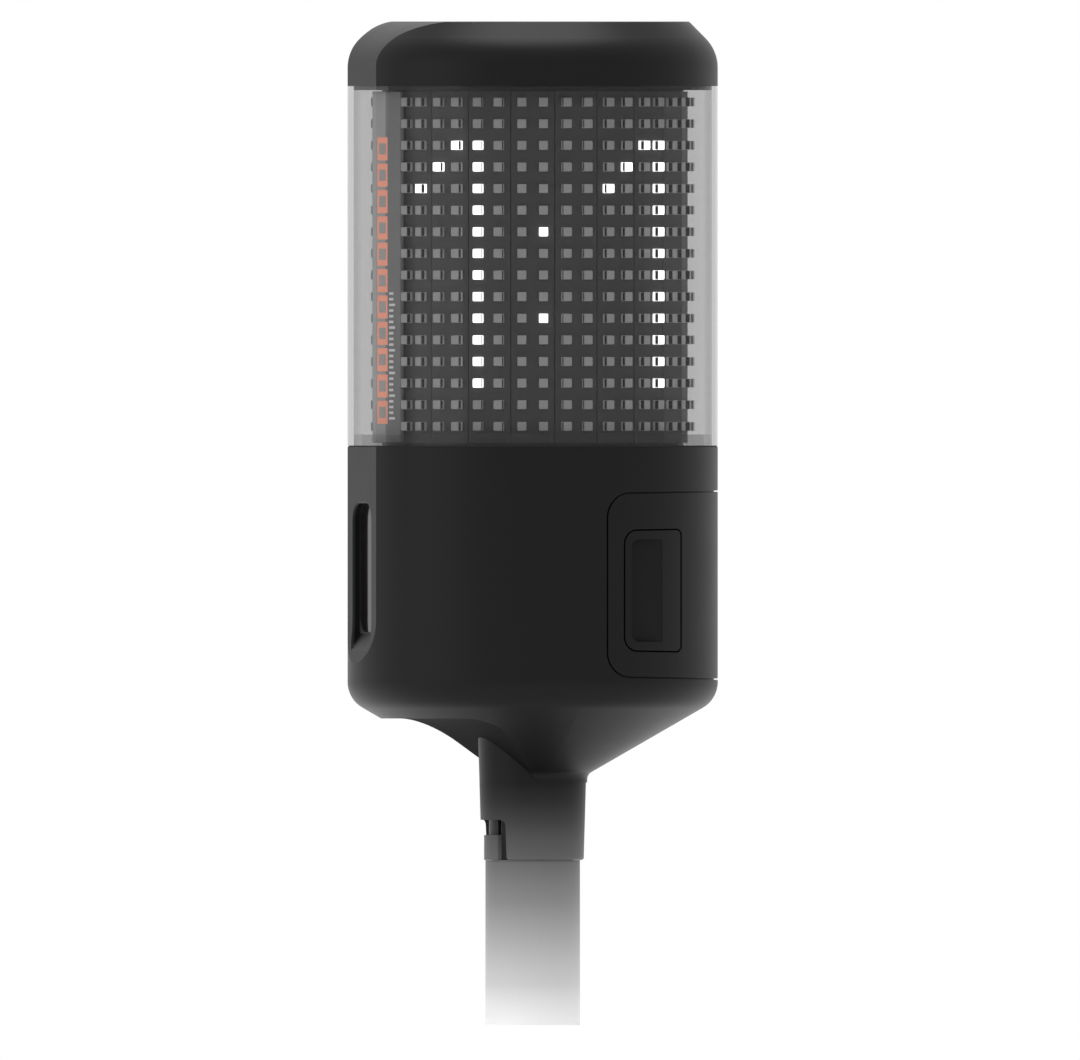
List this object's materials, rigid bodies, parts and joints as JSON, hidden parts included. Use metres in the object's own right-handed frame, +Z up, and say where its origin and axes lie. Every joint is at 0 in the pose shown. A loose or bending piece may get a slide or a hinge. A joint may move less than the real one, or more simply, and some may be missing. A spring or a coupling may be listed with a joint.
{
  "type": "timing gate head",
  "caption": "Timing-gate head on a round pole: drum housing with sensor window, wrap-round LED display under a clear cover, and a slide-out battery door.",
  "frame": {"origin": "on the pole's axis at the pole's lower end", "axes": "+Z up the pole, -Y towards the sensor window, +X to the window's left-hand side seen from behind"},
  "size_m": [0.137, 0.137, 0.3713],
  "materials": {
    "pole_tube": "fine satin anodised",
    "pole_spigot": "turned",
    "thrust_washer": "acetal",
    "lower_housing": "fine satin moulded",
    "pole_socket": "fine satin moulded",
    "socket_bush": "acetal",
    "display_deck": "satin moulded",
    "deck_screws": "zinc plated",
    "cover_gasket": "silicone",
    "clear_cover": "clear tinted polycarbonate",
    "top_cap": "fine satin moulded",
    "cap_gasket": "silicone",
    "tie_rods": "threaded rod",
    "rod_nuts": "zinc plated",
    "core_frame": "moulded",
    "led_boards": "black solder mask",
    "leds_lit": "lit white LED",
    "leds_unlit": "grey LED package",
    "label_plate": "satin plate",
    "display_driver": "green circuit board",
    "display_ribbon": "flat ribbon",
    "main_board": "green circuit board",
    "board_standoffs": "turned",
    "board_screws": "zinc plated",
    "board_parts": "moulded chips",
    "antenna": "ceramic",
    "buzzer": "moulded",
    "power_board": "green circuit board",
    "contact_block": "moulded",
    "head_contacts": "gold plated",
    "optic_window": "dark infrared acrylic",
    "window_gasket": "closed foam",
    "optic_carrier": "moulded",
    "optic_lenses": "polished",
    "optic_board": "green circuit board",
    "carrier_screws": "zinc plated",
    "switch_board": "green circuit board",
    "power_switch": "tactile switch",
    "battery_door": "fine satin moulded",
    "door_gasket": "silicone",
    "battery_tray": "moulded",
    "tray_lid": "moulded",
    "tray_contacts": "gold plated",
    "tray_screws": "zinc plated",
    "battery_cells": "shrink sleeve",
    "latch_right": "fine satin moulded",
    "latch_left": "fine satin moulded",
    "latch_spring_right": "spring wire",
    "latch_spring_left": "spring wire",
    "pole_catch": "satin moulded",
    "catch_spring": "spring strip",
    "power_button": "moulded",
    "button_spring": "spring wire"
  },
  "bodies": {
    "pole": {"pole_tube": "pole_tube", "pole_spigot": "pole_spigot", "thrust_washer": "thrust_washer"},
    "head": {"lower_housing": "lower_housing", "pole_socket": "pole_socket", "socket_bush": "socket_bush", "display_deck": "display_deck", "deck_screws": "deck_screws", "cover_gasket": "cover_gasket", "clear_cover": "clear_cover", "top_cap": "top_cap", "cap_gasket": "cap_gasket", "tie_rods": "tie_rods", "rod_nuts": "rod_nuts", "core_frame": "core_frame", "led_boards": "led_boards", "leds_lit": "leds_lit", "leds_unlit": "leds_unlit", "label_plate": "label_plate", "display_driver": "display_driver", "display_ribbon": "display_ribbon", "main_board": "main_board", "board_standoffs": "board_standoffs", "board_screws": "board_screws", "board_parts": "board_parts", "antenna": "antenna", "buzzer": "buzzer", "power_board": "power_board", "contact_block": "contact_block", "head_contacts": "head_contacts", "optic_window": "optic_window", "window_gasket": "window_gasket", "optic_carrier": "optic_carrier", "optic_lenses": "optic_lenses", "optic_board": "optic_board", "carrier_screws": "carrier_screws", "switch_board": "switch_board", "power_switch": "power_switch"},
    "battery_module": {"battery_door": "battery_door", "door_gasket": "door_gasket", "battery_tray": "battery_tray", "tray_lid": "tray_lid", "tray_contacts": "tray_contacts", "tray_screws": "tray_screws", "battery_cells": "battery_cells"},
    "latch_right": {"latch_right": "latch_right", "latch_spring_right": "latch_spring_right"},
    "latch_left": {"latch_left": "latch_left", "latch_spring_left": "latch_spring_left"},
    "pole_catch": {"pole_catch": "pole_catch", "catch_spring": "catch_spring"},
    "power_button": {"power_button": "power_button", "button_spring": "button_spring"}
  },
  "joints": [
    {"name": "head_aim", "type": "hinge", "parent": "pole", "child": "head", "pos_m": [0, 0, 0.085], "axis": [0, 0, 1], "continuous": true},
    {"name": "battery_slide", "type": "slide", "parent": "head", "child": "battery_module", "axis": [0, 1, 0], "range_m": [0, 0.07]},
    {"name": "latch_right_press", "type": "slide", "parent": "battery_module", "child": "latch_right", "axis": [-1, 0, 0], "range_m": [0, 0.0025], "stiffness_N_per_m": 1500, "springref_m": -0.001, "deforming": ["latch_spring_right"]},
    {"name": "latch_left_press", "type": "slide", "parent": "battery_module", "child": "latch_left", "axis": [1, 0, 0], "range_m": [0, 0.0025], "stiffness_N_per_m": 1500, "springref_m": -0.001, "deforming": ["latch_spring_left"]},
    {"name": "catch_pull", "type": "slide", "parent": "head", "child": "pole_catch", "axis": [0, -1, 0], "range_m": [0, 0.0016], "stiffness_N_per_m": 1000, "springref_m": -0.001, "deforming": ["catch_spring"]},
    {"name": "power_press", "type": "slide", "parent": "head", "child": "power_button", "axis": [0, 0, 1], "range_m": [0, 0.0012], "stiffness_N_per_m": 800, "springref_m": -0.001, "deforming": ["button_spring"]}
  ]
}
